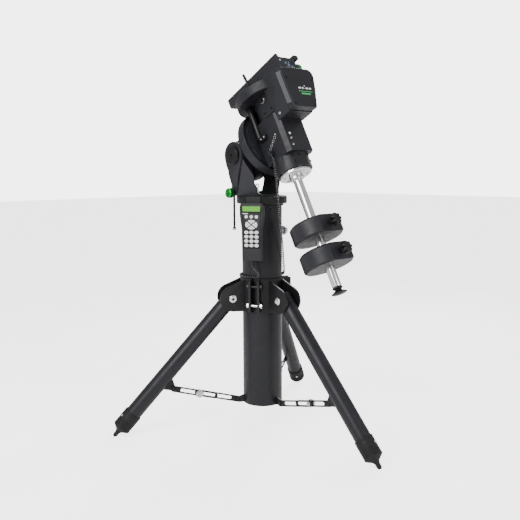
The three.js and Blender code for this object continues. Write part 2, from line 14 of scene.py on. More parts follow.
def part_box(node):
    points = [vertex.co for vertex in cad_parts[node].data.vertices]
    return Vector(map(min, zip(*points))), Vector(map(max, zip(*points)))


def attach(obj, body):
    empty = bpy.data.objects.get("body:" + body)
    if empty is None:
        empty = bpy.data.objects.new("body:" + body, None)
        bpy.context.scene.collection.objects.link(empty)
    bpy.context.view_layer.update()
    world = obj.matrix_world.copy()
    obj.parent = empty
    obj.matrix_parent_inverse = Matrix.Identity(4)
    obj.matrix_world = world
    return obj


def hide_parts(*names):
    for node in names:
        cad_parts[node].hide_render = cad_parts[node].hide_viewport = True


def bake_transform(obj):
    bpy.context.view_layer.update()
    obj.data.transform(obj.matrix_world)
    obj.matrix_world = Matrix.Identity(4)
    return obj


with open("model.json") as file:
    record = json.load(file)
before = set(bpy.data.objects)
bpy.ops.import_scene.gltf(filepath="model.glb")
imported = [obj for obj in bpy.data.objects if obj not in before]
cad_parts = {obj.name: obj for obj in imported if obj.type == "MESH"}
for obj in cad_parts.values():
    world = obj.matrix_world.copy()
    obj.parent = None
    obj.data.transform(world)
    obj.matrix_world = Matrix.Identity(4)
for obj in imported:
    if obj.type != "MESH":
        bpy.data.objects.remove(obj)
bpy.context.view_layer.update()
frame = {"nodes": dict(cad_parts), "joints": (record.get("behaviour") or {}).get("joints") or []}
NODES = frame["nodes"]
JOINTS = {joint["name"]: joint for joint in frame["joints"]}

MM = 0.001
UP = Vector((0, 0, 1))
LEGS = (1, 2, 3)


# ---------------------------------------------------------------- frames
def axes_frame(origin, x, y, z):
    """Matrix from millimetres along x, y, z at origin (metres) to the row frame, unscaled."""
    rotation = Matrix((x, y, z)).transposed().to_4x4()
    return Matrix.Translation(origin) @ rotation


def shifted(base, x=0, y=0, z=0):
    """base moved by millimetres along its own axes."""
    return base @ Matrix.Translation((x * MM, y * MM, z * MM))


def spun(base, degrees, axis):
    """base turned about one of its own axes."""
    return base @ Matrix.Rotation(math.radians(degrees), 4, axis)


def joint_point(name):
    return Vector(JOINTS[name]["pos_m"])


def joint_axis(name):
    return Vector(JOINTS[name]["axis"]).normalized()


low, high = (Vector(corner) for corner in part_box("azimuth_base"))
PIER_AXIS = Vector(((low.x + high.x) / 2, (low.y + high.y) / 2, 0))
PIER = Matrix.Translation(PIER_AXIS)

POLE = joint_axis("right_ascension")
SADDLE_WAY = joint_axis("declination")
WEST = Vector((1, 0, 0))
AXES_MEET = joint_point("right_ascension")
# head: x west, y away from the pole, z towards the saddle
HEAD = axes_frame(AXES_MEET, WEST, -POLE, SADDLE_WAY)

# handset: upright at the pier axis, x towards the handset
HANDSET = spun(PIER, -150, "Z")


def leg_sector(n):
    """Upright frame at the pier axis, x towards leg n."""
    across = joint_axis(f"leg_fold_{n}")
    return axes_frame(PIER_AXIS, across.cross(UP), across, UP)


LEG_PIVOT_R = 112.4
LEG_PIVOT_Z = 473.5
LEG_TILT = 41.65         # degrees off the vertical
LEG_LENGTH = 633.7       # from the pivot to the tip of the boot


def leg_pivot(n):
    return shifted(leg_sector(n), LEG_PIVOT_R, 0, LEG_PIVOT_Z)


def leg_line(n):
    """Frame of leg n: origin on its pivot, z up along the tube."""
    return spun(leg_pivot(n), -LEG_TILT, "Y")


def turned_about(base, x, y, z, axis):
    """base moved to (x, y, z) mm with its local z turned onto one of its own axes, or a vector."""
    way = {"x": (1, 0, 0), "-x": (-1, 0, 0), "y": (0, 1, 0), "-y": (0, -1, 0), "z": (0, 0, 1),
           "-z": (0, 0, -1)}.get(axis, axis)
    turn = Vector((0, 0, 1)).rotation_difference(Vector(way)).to_matrix().to_4x4()
    return shifted(base, x, y, z) @ turn


# ---------------------------------------------------------------- camera and stage
def look(position, target, roll):
    back = (position - target).normalized()
    right = UP.cross(back).normalized()
    upward = back.cross(right)
    return axes_frame(position, right, upward, back) @ Matrix.Rotation(roll, 4, "Z")


def make_camera():
    data = bpy.data.cameras.new("camera")
    data.sensor_width = 36
    data.lens = 47.0
    data.clip_end = 50
    camera = bpy.data.objects.new("camera", data)
    bpy.context.scene.collection.objects.link(camera)
    position = PIER_AXIS + Vector((-1.5886, -1.7776, 0.9144))
    target = PIER_AXIS + Vector((-0.0056, 0.005, 0.6022))
    camera.matrix_world = look(position, target, math.radians(-0.31))
    bpy.context.scene.camera = camera


def area_light(name, position, target, size, power):
    data = bpy.data.lights.new(name, "AREA")
    data.shape = "RECTANGLE"
    data.size, data.size_y = size
    data.energy = power
    light = bpy.data.objects.new(name, data)
    bpy.context.scene.collection.objects.link(light)
    light.matrix_world = look(Vector(position), Vector(target), 0)


WORLD_LIGHT = 0.55       # strength of the white studio as light
BACKDROP = 5.0           # and as the camera sees it
FLOOR_GLOW = 3.2         # the floor's glow as the camera sees it
FLOOR_LIGHT = 0.25       # and as light


def make_stage():
    world = bpy.data.worlds.new("studio")
    bpy.context.scene.world = world
    world.use_nodes = True
    tree = world.node_tree
    background = tree.nodes["Background"].inputs
    background["Color"].default_value = (1, 1, 1, 1)
    plug(tree, background["Strength"], to_camera(tree, WORLD_LIGHT, BACKDROP))
    area_light("key_light", (-2.6, -0.4, 2.2), (0, 0, 0.8), (1.6, 2.2), 90)
    area_light("rim_light", (1.9, 1.0, 2.2), (0, 0, 0.9), (1.2, 1.8), 50)
    area_light("front_light", (0.4, -3.0, 1.6), (0, -0.1, 0.9), (1.4, 1.4), 30)
    bpy.ops.mesh.primitive_plane_add(size=40)
    floor = bpy.context.object
    floor.name = "floor"
    floor.data.materials.append(floor_paint())


# ---------------------------------------------------------------- materials
def plug(tree, socket, value):
    """Sets an input, or links it where the value is another node's output."""
    if isinstance(value, bpy.types.NodeSocket):
        tree.links.new(value, socket)
    else:
        socket.default_value = value


def add_node(tree, kind, values=None):
    """New shader node with its named inputs set or linked."""
    node = tree.nodes.new("ShaderNode" + kind)
    for name, value in (values or {}).items():
        plug(tree, node.inputs[name], value)
    return node


def new_material(name):
    material = bpy.data.materials.new(name)
    material.use_nodes = True
    return material, material.node_tree


def surface(tree, values):
    """Sets or links the named inputs of a material's surface."""
    for name, value in values.items():
        plug(tree, tree.nodes["Principled BSDF"].inputs[name], value)


def noise(tree, scale, detail, stretch=(1, 1, 1), roughness=0.55):
    """Noise in the piece's own metres, optionally stretched."""
    coordinates = add_node(tree, "TexCoord").outputs["Object"]
    mapping = add_node(tree, "Mapping", {"Vector": coordinates, "Scale": stretch})
    return add_node(tree, "TexNoise", {
        "Vector": mapping.outputs["Vector"], "Scale": scale, "Detail": detail,
        "Roughness": roughness}).outputs["Fac"]


def ramp(tree, value, stops):
    node = add_node(tree, "ValToRGB", {"Fac": value})
    for element, (place, colour) in zip(node.color_ramp.elements, stops):
        element.position = place
        element.color = (*colour, 1)
    return node.outputs["Color"]


def shade(colour, factor, lift=0.0):
    return tuple(min(1, factor * c + lift) for c in colour)


def cloudy(tree, scale, detail, first, second):
    """Colour drifting in soft clouds from first to second."""
    return ramp(tree, noise(tree, scale, detail), [(0.3, first), (0.7, second)])


def blend_colours(tree, factor, first, second, mode="MIX"):
    node = add_node(tree, "Mix")
    node.data_type = "RGBA"
    node.blend_type = mode
    for socket, value in zip((node.inputs[0], *node.inputs[6:8]), (factor, first, second)):
        plug(tree, socket, (*value, 1) if isinstance(value, tuple) else value)
    return node.outputs[2]


def to_range(tree, value, low_value, high_value, source=(0.3, 0.7)):
    return add_node(tree, "MapRange", {
        "Value": value, "From Min": source[0], "From Max": source[1], "To Min": low_value,
        "To Max": high_value}).outputs["Result"]


def to_camera(tree, as_light, as_seen):
    """One strength as light, another as the camera sees it."""
    seen = add_node(tree, "LightPath").outputs["Is Camera Ray"]
    return to_range(tree, seen, as_light, as_seen, (0, 1))


def bump(tree, height, strength, distance):
    return add_node(tree, "Bump", {
        "Height": height, "Strength": strength, "Distance": distance}).outputs["Normal"]


def worn_edges(tree, amount):
    """Rises to amount along outside edges, from the surface's own curvature."""
    bend = add_node(tree, "NewGeometry").outputs["Pointiness"]
    wear = add_node(tree, "Math")
    wear.operation = "MULTIPLY"
    plug(tree, wear.inputs[0], to_range(tree, bend, 0.0, 1.0, (0.52, 0.62)))
    plug(tree, wear.inputs[1], amount)
    return wear.outputs[0]


def coat(name, colour, roughness=0.42, grain=1100, depth=0.00012, metallic=0.0, edge=0.35):
    """Baked-on textured paint: fine orange-peel grain, cloudy sheen, edges rubbed paler."""
    material, tree = new_material(name)
    base = cloudy(tree, 14, 5, shade(colour, 0.82), shade(colour, 1.22))
    speck = ramp(tree, noise(tree, 2200, 2), [(0.45, (0, 0, 0)), (0.75, (1, 1, 1))])
    base = blend_colours(tree, 0.008, base, speck, "SCREEN")
    base = blend_colours(tree, worn_edges(tree, edge), base, shade(colour, 3.2, 0.012))
    surface(tree, {
        "Base Color": base, "Metallic": metallic, "Specular IOR Level": 0.3,
        "Roughness": to_range(tree, noise(tree, 45, 6), roughness - 0.06, roughness + 0.08),
        "Normal": bump(tree, noise(tree, grain, 2), 0.35, depth)})
    return material


def machined(name, colour, roughness=0.2, stretch=(6, 6, 900), depth=0.00002):
    """Turned bright metal with fine tool marks round its own z axis."""
    material, tree = new_material(name)
    marks = noise(tree, 1.0, 6, stretch, 0.7)
    surface(tree, {
        "Base Color": cloudy(tree, 20, 3, shade(colour, 0.86), colour), "Metallic": 1.0,
        "Roughness": to_range(tree, marks, roughness - 0.07, roughness + 0.12),
        "Normal": bump(tree, marks, 0.25, depth)})
    return material


def moulded(name, colour, roughness=0.5, grain=1800, depth=0.00005, coat_weight=0.0):
    """Moulded plastic or rubber: fine grain and slightly uneven sheen."""
    material, tree = new_material(name)
    surface(tree, {
        "Base Color": cloudy(tree, 30, 4, shade(colour, 0.85), shade(colour, 1.12)),
        "Roughness": to_range(tree, noise(tree, 90, 5), roughness - 0.06, roughness + 0.07),
        "Coat Weight": coat_weight, "Specular IOR Level": 0.35,
        "Normal": bump(tree, noise(tree, grain, 2), 0.3, depth)})
    return material


def display_glass():
    """Lit green display: rows of faint character cells under a gloss window."""
    material, tree = new_material("display_glass")
    place = add_node(tree, "SeparateXYZ", {"Vector": add_node(tree, "TexCoord").outputs["Object"]})
    flat = add_node(tree, "CombineXYZ", {"X": place.outputs["Y"], "Y": place.outputs["Z"]})
    cells = add_node(tree, "TexBrick", {
        "Vector": flat.outputs[0], "Scale": 1, "Brick Width": 0.0034, "Row Height": 0.0062,
        "Mortar Size": 0.00035, "Mortar": (0.16, 0.5, 0.06, 1),
        "Color1": (0.1, 0.4, 0.035, 1), "Color2": (0.085, 0.36, 0.03, 1)})
    cells.offset = 0
    lit = cells.outputs["Color"]
    surface(tree, {"Base Color": lit, "Emission Color": lit, "Emission Strength": 0.12,
                   "Roughness": 0.12})
    return material


def floor_paint():
    material, tree = new_material("floor_paint")
    pale = cloudy(tree, 3, 3, (0.86, 0.86, 0.86), (0.9, 0.9, 0.9))
    glow = to_camera(tree, FLOOR_LIGHT, FLOOR_GLOW)
    surface(tree, {"Base Color": pale, "Emission Color": pale, "Emission Strength": glow,
                   "Roughness": 0.8})
    return material


BLACK = coat("black_coat", (0.0055, 0.0055, 0.0065), 0.4)
CHARCOAL = coat("charcoal_coat", (0.011, 0.011, 0.0145), 0.42)
TUBE = coat("tube_coat", (0.0095, 0.0095, 0.0125), 0.38, 900)
WEIGHT = coat("weight_coat", (0.014, 0.014, 0.018), 0.42, 500, 0.0002, 0.0, 0.2)
SATIN_BLACK = coat("satin_black", (0.004, 0.004, 0.0048), 0.32, 1600, 0.00004, 0.0, 0.2)
# Painted reflection: pale grey coat for the band that stands in for the key light's reflection on
# the motor cover
PAINTED_REFLECTION = coat("painted_reflection_paint", (0.1, 0.1, 0.115), 0.42, 1200, 0.00005, 0.3, 0.1)
STEEL = machined("turned_steel", (0.82, 0.82, 0.83), 0.16)
BRIGHT = machined("bright_steel", (0.9, 0.9, 0.9), 0.12, (30, 30, 300), 0.00001)
ZINC = machined("zinc_plate", (0.72, 0.72, 0.73), 0.3, (60, 60, 60), 0.00003)
BRONZE = machined("wheel_bronze", (0.62, 0.42, 0.2), 0.32)
GREEN = machined("green_anodised", (0.02, 0.34, 0.05), 0.3, (40, 40, 500), 0.00002)
RUBBER = moulded("boot_rubber", (0.006, 0.006, 0.007), 0.6, 700, 0.00015)
PLASTIC = moulded("black_plastic", (0.006, 0.006, 0.007), 0.4)
SHELL = moulded("handset_shell", (0.014, 0.014, 0.017), 0.48, 2400, 0.00006)
CORD = moulded("cord_jacket", (0.03, 0.03, 0.034), 0.2, 1200, 0.00002, 1.0)
KEY = moulded("key_white", (0.82, 0.84, 0.82), 0.55, 2600, 0.00003)
KEY_MARK = moulded("key_mark", (0.12, 0.12, 0.13), 0.5)
INK_WHITE = moulded("ink_white", (0.85, 0.86, 0.88), 0.45)
INK_BLUE = moulded("ink_blue", (0.12, 0.2, 0.3), 0.45)
INK_GREEN = moulded("ink_green", (0.08, 0.5, 0.16), 0.45)
# Painted shade: near-black standing in for the shade inside bolt sockets and socket openings
SOCKET_SHADE = moulded("painted_socket_shade", (0.006, 0.006, 0.006), 0.6)
DISPLAY = display_glass()
MOTOR = coat("motor_can", (0.05, 0.05, 0.055), 0.35, 1400, 0.00005, 0.6)


# ---------------------------------------------------------------- mesh building
def round_shape(_):
    return 1.0


def hexagon(angle):
    return math.cos(math.pi / 6) / math.cos(angle % (math.pi / 3) - math.pi / 6)


def lobes(count, depth):
    """Outline of a moulded knob: count rounded lobes with hollows between them."""
    return lambda angle: 1 - depth * (0.5 - 0.5 * math.cos(count * angle)) ** 2


def flutes(count, depth):
    """Outline of a knurled rim: count small ridges."""
    return lambda angle: 1 - depth * abs(math.sin(count * angle / 2))


def filleted(profile, radius, steps=3):
    """Rounds each corner of an (r, z, shape) profile that turns by more than 20 degrees."""
    if radius <= 0:
        return profile
    out = [profile[0]]
    for before, corner, after in zip(profile, profile[1:], profile[2:]):
        a = Vector(before[:2]) - Vector(corner[:2])
        b = Vector(after[:2]) - Vector(corner[:2])
        touching = min(a.length, b.length) < 1e-6
        turn = 0 if touching else math.pi - a.angle(b)
        if turn < math.radians(20):
            out.append(corner)
            continue
        cut = min(radius * math.tan(turn / 2), 0.4 * a.length, 0.4 * b.length)
        start = Vector(corner[:2]) + a.normalized() * cut
        end = Vector(corner[:2]) + b.normalized() * cut
        for k in range(steps + 1):
            t = k / steps
            point = start.lerp(Vector(corner[:2]), t).lerp(Vector(corner[:2]).lerp(end, t), t)
            out.append((point.x, point.y, corner[2]))
    out.append(profile[-1])
    return out


def closed(bm, *caps):
    """bm with a face on each loop of caps, and all its faces turned outwards."""
    for cap in caps:
        bm.faces.new(cap)
    bmesh.ops.recalc_face_normals(bm, faces=bm.faces)
    return bm


def circle(bm, r, z, segments, shape=round_shape):
    """Loop of vertices about z, its radius r scaled by the shape at each angle."""
    loop = []
    for k in range(segments):
        angle = 2 * math.pi * k / segments
        reach = r * shape(angle) * MM
        loop.append(bm.verts.new((reach * math.cos(angle), reach * math.sin(angle), z * MM)))
    return loop


def turned(profile, segments=72, fillet=0.6):
    """Closed bmesh turned about z from (r, z) or (r, z, shape) points, both ends on the axis."""
    points = [(p[0], p[1], p[2] if len(p) > 2 else round_shape) for p in profile]
    points = filleted(points, fillet)
    bm = bmesh.new()
    loops = []
    for r, z, shape in points:
        tip = r < 1e-9
        loops.append([bm.verts.new((0, 0, z * MM))] if tip else circle(bm, r, z, segments, shape))
    for first, second in zip(loops, loops[1:]):
        stitch(bm, first, second)
    return closed(bm)


def stitch(bm, first, second):
    """Faces from one loop of vertices to the next; a single vertex stands for a tip."""
    count = max(len(first), len(second))
    if count == 1:
        return
    for k in range(count):
        j = (k + 1) % count
        if len(first) == 1:
            bm.faces.new((first[0], second[k], second[j]))
        elif len(second) == 1:
            bm.faces.new((first[k], second[0], first[j]))
        else:
            bm.faces.new((first[k], second[k], second[j], first[j]))


def ringed(profile, segments=72):
    """Closed bmesh turned about z from a closed loop of (r, z) points off the axis."""
    bm = bmesh.new()
    loops = [circle(bm, r, z, segments) for r, z in profile]
    for first, second in zip(loops, loops[1:] + loops[:1]):
        stitch(bm, first, second)
    return closed(bm)


def prism(outline, z0, z1, bevel=0.8, steps=2):
    """Closed bmesh: a flat outline in x and y raised from z0 to z1, with its edges rounded."""
    bm = bmesh.new()
    face = bm.faces.new([bm.verts.new((x * MM, y * MM, z0 * MM)) for x, y in outline])
    grown = bmesh.ops.extrude_face_region(bm, geom=[face])
    lifted = [v for v in grown["geom"] if isinstance(v, bmesh.types.BMVert)]
    bmesh.ops.translate(bm, verts=lifted, vec=(0, 0, (z1 - z0) * MM))
    closed(bm)
    edges = [e for e in bm.edges if e.calc_face_angle(0) > math.radians(25)]
    bmesh.ops.bevel(bm, geom=edges, offset=bevel * MM, segments=steps, profile=0.6,
                    affect="EDGES", clamp_overlap=True)
    return bm


def block(x, y, z, bevel=0.8, steps=2):
    """Closed bmesh box between its low and high values on each axis, edges rounded."""
    outline = [(x[0], y[0]), (x[1], y[0]), (x[1], y[1]), (x[0], y[1])]
    return prism(outline, z[0], z[1], bevel, steps)


def disc_outline(x, y, rx, ry, count=24, start=0, sweep=360):
    stops = count if sweep == 360 else count - 1
    return [
        (x + rx * math.cos(math.radians(start + sweep * k / stops)),
         y + ry * math.sin(math.radians(start + sweep * k / stops)))
        for k in range(count)
    ]


def bar_outline(x0, y0, x1, y1, radius, steps=5):
    """Rectangle with round corners."""
    corners = [(x1 - radius, y1 - radius, 0), (x0 + radius, y1 - radius, 90),
               (x0 + radius, y0 + radius, 180), (x1 - radius, y0 + radius, 270)]
    points = []
    for x, y, start in corners:
        points += disc_outline(x, y, radius, radius, steps, start, 90)
    return points


def joined(*meshes):
    """One bmesh from several."""
    bm = meshes[0]
    for other in meshes[1:]:
        carrier = bpy.data.meshes.new("carrier")
        other.to_mesh(carrier)
        bm.from_mesh(carrier)
        bpy.data.meshes.remove(carrier)
        other.free()
    return bm


def moved(bm, base, target):
    """bm, drawn in frame target, redrawn in frame base."""
    bmesh.ops.transform(bm, matrix=base.inverted() @ target, verts=bm.verts)
    return bm


def placed(name, bm, base, material):
    """Scene object from a bmesh drawn in base, smooth shaded."""
    for face in bm.faces:
        face.smooth = True
    mesh = bpy.data.meshes.new(name)
    bm.to_mesh(mesh)
    bm.free()
    mesh.materials.append(material)
    obj = bpy.data.objects.new(name, mesh)
    bpy.context.scene.collection.objects.link(obj)
    obj.matrix_world = base
    return obj


def piece(name, bm, base, body, material, replaces=()):
    """Places a bmesh drawn in base as a piece riding on body; edges over 38 degrees stay sharp."""
    for edge in bm.edges:
        edge.smooth = edge.calc_face_angle(math.pi) < math.radians(38)
    obj = placed(name, bm, base, material)
    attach(obj, body)
    if replaces:
        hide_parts(*replaces)


def printed(name, outline, face, body, ink, z0=-0.2, z1=0.25):
    """Thin raised print on a face."""
    piece(name, prism(outline, z0, z1, 0.1, 1), face, body, ink)


def carried(node, material, bevel=0.8, limit=28):
    """A CAD node whose shape is right: its material, and softened edges."""
    obj = NODES[node]
    obj.data.materials.clear()
    obj.data.materials.append(material)
    weld = obj.modifiers.new("weld", "WELD")
    weld.merge_threshold = 0.00001
    flat = obj.modifiers.new("merge_flats", "DECIMATE")
    flat.decimate_type = "DISSOLVE"
    flat.angle_limit = math.radians(0.6)
    edge = obj.modifiers.new("soft_edges", "BEVEL")
    edge.width = bevel * MM
    edge.segments = 3
    edge.limit_method = "ANGLE"
    edge.angle_limit = math.radians(limit)
    edge.harden_normals = False
    shade = obj.modifiers.new("even_shading", "WEIGHTED_NORMAL")
    shade.keep_sharp = True
    for polygon in obj.data.polygons:
        polygon.use_smooth = True


# ---------------------------------------------------------------- fasteners
def socket_head(radius, height, recess=0.55):
    """Cap screw head standing on z = 0, with a hexagon socket."""
    hole = radius * recess
    deep = height * 0.35
    return turned([(0, -1), (radius, -1), (radius, height), (hole * 1.12, height),
                   (hole, height - 0.3, hexagon), (hole, deep, hexagon), (0, deep)], 36, 0.35)


def hex_head(radius, height):
    return turned([(0, -1), (radius, -1, hexagon), (radius, height - 0.8, hexagon),
                   (radius * 0.86, height), (0, height)], 48, 0.3)


def washer(radius, height):
    return turned([(0, -0.5), (radius, -0.5), (radius, height), (0, height)], 40, 0.3)


def cap_screw(name, base, x, y, z, axis, body, radius, height, material=ZINC):
    spot = turned_about(base, x, y, z, axis)
    head = joined(washer(radius * 1.35, 0.8), socket_head(radius, height))
    piece(name, head, spot, body, material)


# ---------------------------------------------------------------- cord
CORD_COIL_R = 3.0
CORD_WIRE_R = 1.9
CORD_PITCH = 7.6
CORD_TURN_POINTS = 14
CABLE_UPPER = [(-66, -126.3, 961.5), (-66, -132.4, 954.2), (-67.5, -139, 943), (-69.5, -144, 922),
               (-65, -144.5, 889), (-52, -134, 856), (-34.6, -120.4, 812)]
CABLE_LOWER = [(-34.4, -120.2, 811.6), (-17.2, -106.4, 765), (1.6, -93.7, 718), (20, -80.8, 671),
               (37.3, -67, 624), (53.4, -54, 580), (62.1, -44.5, 557), (67.5, -35.9, 551),
               (75.8, -10.6, 550.6), (74.8, 15.9, 550.6), (64.9, 40.5, 550.6), (47.1, 60.3, 550.6),
               (23.6, 72.8, 550.6), (-2.7, 76.5, 550.6), (-28.7, 70.9, 550.6), (-51.2, 56.8, 550.6),
               (-67.5, 35.9, 550.6), (-75.8, 10.6, 550.6), (-74.8, -15.9, 550.6),
               (-68.8, -33.5, 551), (-63.5, -45.5, 553), (-64.6, -53.6, 560), (-72.5, -56.5, 571),
               (-83, -54, 583), (-89, -51.5, 593), (-89.2, -51.5, 599.7)]


def smooth_route(points, spacing):
    """Points about spacing mm apart on a centripetal Catmull-Rom curve through points."""
    pts = [Vector(p) for p in points]
    pts = [2 * pts[0] - pts[1]] + pts + [2 * pts[-1] - pts[-2]]
    route = []
    for a, b, c, d in zip(pts, pts[1:], pts[2:], pts[3:]):
        knots = [0.0]
        for p, q in ((a, b), (b, c), (c, d)):
            knots.append(knots[-1] + max((q - p).length, 1e-6) ** 0.5)
        count = max(2, round((c - b).length / spacing))
        for k in range(count):
            t = knots[1] + (knots[2] - knots[1]) * k / count
            route.append(catmull(a, b, c, d, knots, t))
    route.append(pts[-2])
    return route


def catmull(a, b, c, d, knots, t):
    """Point between b and c at knot value t."""
    t0, t1, t2, t3 = knots
    mix = lambda p, q, u, v: p * ((v - t) / (v - u)) + q * ((t - u) / (v - u))
    ab, bc, cd = mix(a, b, t0, t1), mix(b, c, t1, t2), mix(c, d, t2, t3)
    return mix(mix(ab, bc, t0, t2), mix(bc, cd, t1, t3), t1, t2)


def carried_frames(route):
    """Way ahead at each route point, and a side vector that turns as little as it can."""
    side = (route[1] - route[0]).orthogonal().normalized()
    sides = []
    for k in range(len(route)):
        ahead = route[min(k + 1, len(route) - 1)] - route[max(k - 1, 0)]
        ahead.normalize()
        side = (side - ahead * side.dot(ahead)).normalized()
        sides.append((ahead, side))
    return sides


def curly(points):
    """Centreline of a coiled cord wound round the route, with short straight ends."""
    route = smooth_route(points, CORD_PITCH / CORD_TURN_POINTS)
    frames = carried_frames(route)
    travelled = [0.0]
    for p, q in zip(route, route[1:]):
        travelled.append(travelled[-1] + (q - p).length)
    whole = travelled[-1]
    ease = 1.2 * CORD_PITCH
    line = []
    for point, (ahead, side), done in zip(route, frames, travelled):
        near_end = min(done, whole - done) / ease
        reach = CORD_COIL_R * min(1, near_end) ** 0.7
        angle = 2 * math.pi * done / CORD_PITCH
        across = ahead.cross(side)
        line.append(point + (side * math.cos(angle) + across * math.sin(angle)) * reach)
    return line


def tube(line, radius, sides=8):
    """Closed bmesh of a round wire along a line of points."""
    bm = bmesh.new()
    rings = []
    for point, (ahead, side) in zip(line, carried_frames(line)):
        across = ahead.cross(side)
        rings.append([
            bm.verts.new((point + (side * math.cos(t) + across * math.sin(t)) * radius) * MM)
            for t in (2 * math.pi * k / sides for k in range(sides))
        ])
    for first, second in zip(rings, rings[1:]):
        stitch(bm, first, second)
    return closed(bm, rings[0], rings[-1])


def curly_cord(name, points, node):
    """Cord along points (mm in the pier frame), fixed in the row frame in place of the CAD node."""
    line = curly(points)
    bm = tube(line, CORD_WIRE_R)
    bmesh.ops.transform(bm, matrix=PIER, verts=bm.verts)
    obj = placed(name, bm, Matrix(), CORD)
    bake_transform(obj)
    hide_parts(node)


def make_cords():
    curly_cord("coiled_cord_upper", CABLE_UPPER, "handset_cable_upper")
    curly_cord("coiled_cord_lower", CABLE_LOWER, "handset_cable_lower")


# ---------------------------------------------------------------- pier and legs
PIER_R = 69.5                  # the tube's wall
COLLAR_BOLTS_R = 90
CLAMP_BOLTS = (("low", 454, BRIGHT), ("high", 520, SATIN_BLACK))
BOOT_SHOULDER = LEG_LENGTH - 41
BOOT_MOUTH = LEG_LENGTH - 106
BOOT_RIBS = 9
RIB_PITCH = 3.2
# hinges of a brace in its leg's sector, and the clamp's reach along the bars from the outer one
INNER_HINGE_R, INNER_HINGE_Z = 92, 100
OUTER_HINGE_R, OUTER_HINGE_Z = 321.5, 155.8
BRACE_CLAMP_REACH = 93
BRACE_SLOPE = math.atan2(OUTER_HINGE_Z - INNER_HINGE_Z, OUTER_HINGE_R - INNER_HINGE_R)


def make_pier():
    carried("pier_tube", TUBE, 1.2)
    carried("pier_top_plate", BLACK, 1.0)
    spindle = turned([(0, 60), (5, 60), (5, 96), (9, 97), (9, 99), (17, 100, flutes(40, 0.03)),
                      (17, 110, flutes(40, 0.03)), (14, 112), (0, 112)], 80, 0.6)
    piece("pier_thumb_screw", spindle, turned_about(PIER, 0, 0, 702, "x"), "pier", ZINC)
    nut = joined(washer(9, 1.2), hex_head(6.5, 9))
    piece("pier_side_bolt", nut, turned_about(PIER, PIER_R, 0, 782, "x"), "pier", ZINC)
    for k in range(3):
        spot = turned_about(spun(PIER, 120 * k + 15, "Z"), PIER_R + 0.1, 0, 788, "x")
        piece(f"pier_rim_screw_{k + 1}", joined(washer(5, 0.6), socket_head(3.8, 2.2)), spot,
              "pier", SATIN_BLACK)


def make_bracket(n):
    carried(f"leg_bracket_{n}", BLACK, 1.0)
    between_legs = spun(leg_sector(n), 60, "Z")
    for level, z, finish in CLAMP_BOLTS:
        spot = turned_about(between_legs, COLLAR_BOLTS_R, 0, z, "y")
        shank = turned([(0, -29), (4.4, -29), (4.8, -28), (4.8, 27), (4.4, 28), (0, 28)], 32, 0.3)
        head = turned([(0, 18.7), (8, 18.7), (8, 20), (7.2, 20.3, hexagon), (8.4, 21, hexagon),
                       (8.4, 27, hexagon), (7.4, 28.2), (0, 28.2)], 48, 0.3)
        nut = turned([(0, -18.7), (8, -18.7), (8, -20), (7.2, -20.3, hexagon),
                      (8.4, -21, hexagon), (8.4, -26.5, hexagon), (7.4, -27.6), (0, -27.6)],
                     48, 0.3)
        piece(f"clamp_bolt_{level}_{n}", joined(shank, head, nut), spot, "pier", finish)


def make_pivot_bolt(n):
    spot = turned_about(leg_pivot(n), 0, 0, 0, "y")
    body = turned([
        (0, -42), (5.2, -42), (8.6, -41.4, hexagon), (9.6, -40, hexagon), (9.6, -36.4, hexagon),
        (13, -36.2), (13, -34.7), (8, -34.6), (8, 34.6), (13, 34.7), (13, 36.2),
        (11.5, 36.4), (11.5, 41), (10.4, 42), (5.6, 42), (5.2, 41.6, hexagon),
        (5.2, 38.4, hexagon), (0, 38.4)], 60, 0.3)
    piece(f"pivot_bolt_{n}", body, spot, "pier", BRIGHT, [f"leg_pivot_bolt_{n}"])
    # painted shade: a near-black disc at the bottom of the bolt's socket
    shade_disc = turned([(0, 38.42), (5.0, 38.42), (5.0, 38.9), (0, 38.9)], 24, 0)
    piece(f"pivot_bolt_socket_{n}", shade_disc, spot, "pier", SOCKET_SHADE)


def make_leg(n):
    line = leg_line(n)
    body = f"leg_{n}"
    carried(f"leg_tube_{n}", TUBE, 0.7)
    tip, shoulder, mouth = -LEG_LENGTH, -BOOT_SHOULDER, -BOOT_MOUTH
    ribs = []
    for k in reversed(range(BOOT_RIBS)):
        z = shoulder + 6 + RIB_PITCH * k
        ribs += [(31.5, z + 1.1), (30.9, z + 0.6), (30.9, z - 0.6), (31.5, z - 1.1)]
    boot = turned([
        (0, shoulder + 3), (28.3, shoulder + 3), (28.3, mouth), (30.9, mouth),
        (31.5, mouth - 1.5), (31.5, mouth - 7), (30.8, mouth - 7.6), (30.8, mouth - 8.6),
        (31.5, mouth - 9.2), *ribs, (31.5, shoulder), (25, shoulder - 5), (13, shoulder - 13),
        (8.5, shoulder - 20), (8, tip + 8), (6.9, tip + 4), (4, tip + 1.1), (0, tip + 0.4)],
        72, 0.5)
    boot = moved(boot, PIER, line)
    cut_below_floor(boot)
    piece(f"boot_{n}", boot, PIER, body, RUBBER, [f"leg_foot_{n}"])
    for k, angle in enumerate((200, 20)):
        spot = turned_about(spun(line, angle, "Z"), 31.2, 0, shoulder + 38, "x")
        piece(f"boot_screw_{n}_{k + 1}", joined(washer(4.6, 0.5), socket_head(3.4, 1.8)), spot,
              body, ZINC)


def cut_below_floor(bm):
    """Trims a bmesh drawn in the pier frame a hair above the floor, and closes the cut."""
    geometry = list(bm.verts) + list(bm.edges) + list(bm.faces)
    cut = bmesh.ops.bisect_plane(bm, geom=geometry, plane_co=(0, 0, 0.01 * MM), plane_no=UP,
                                 clear_inner=True)
    edges = [e for e in cut["geom_cut"] if isinstance(e, bmesh.types.BMEdge)]
    bmesh.ops.edgeloop_fill(bm, edges=edges)
    closed(bm)


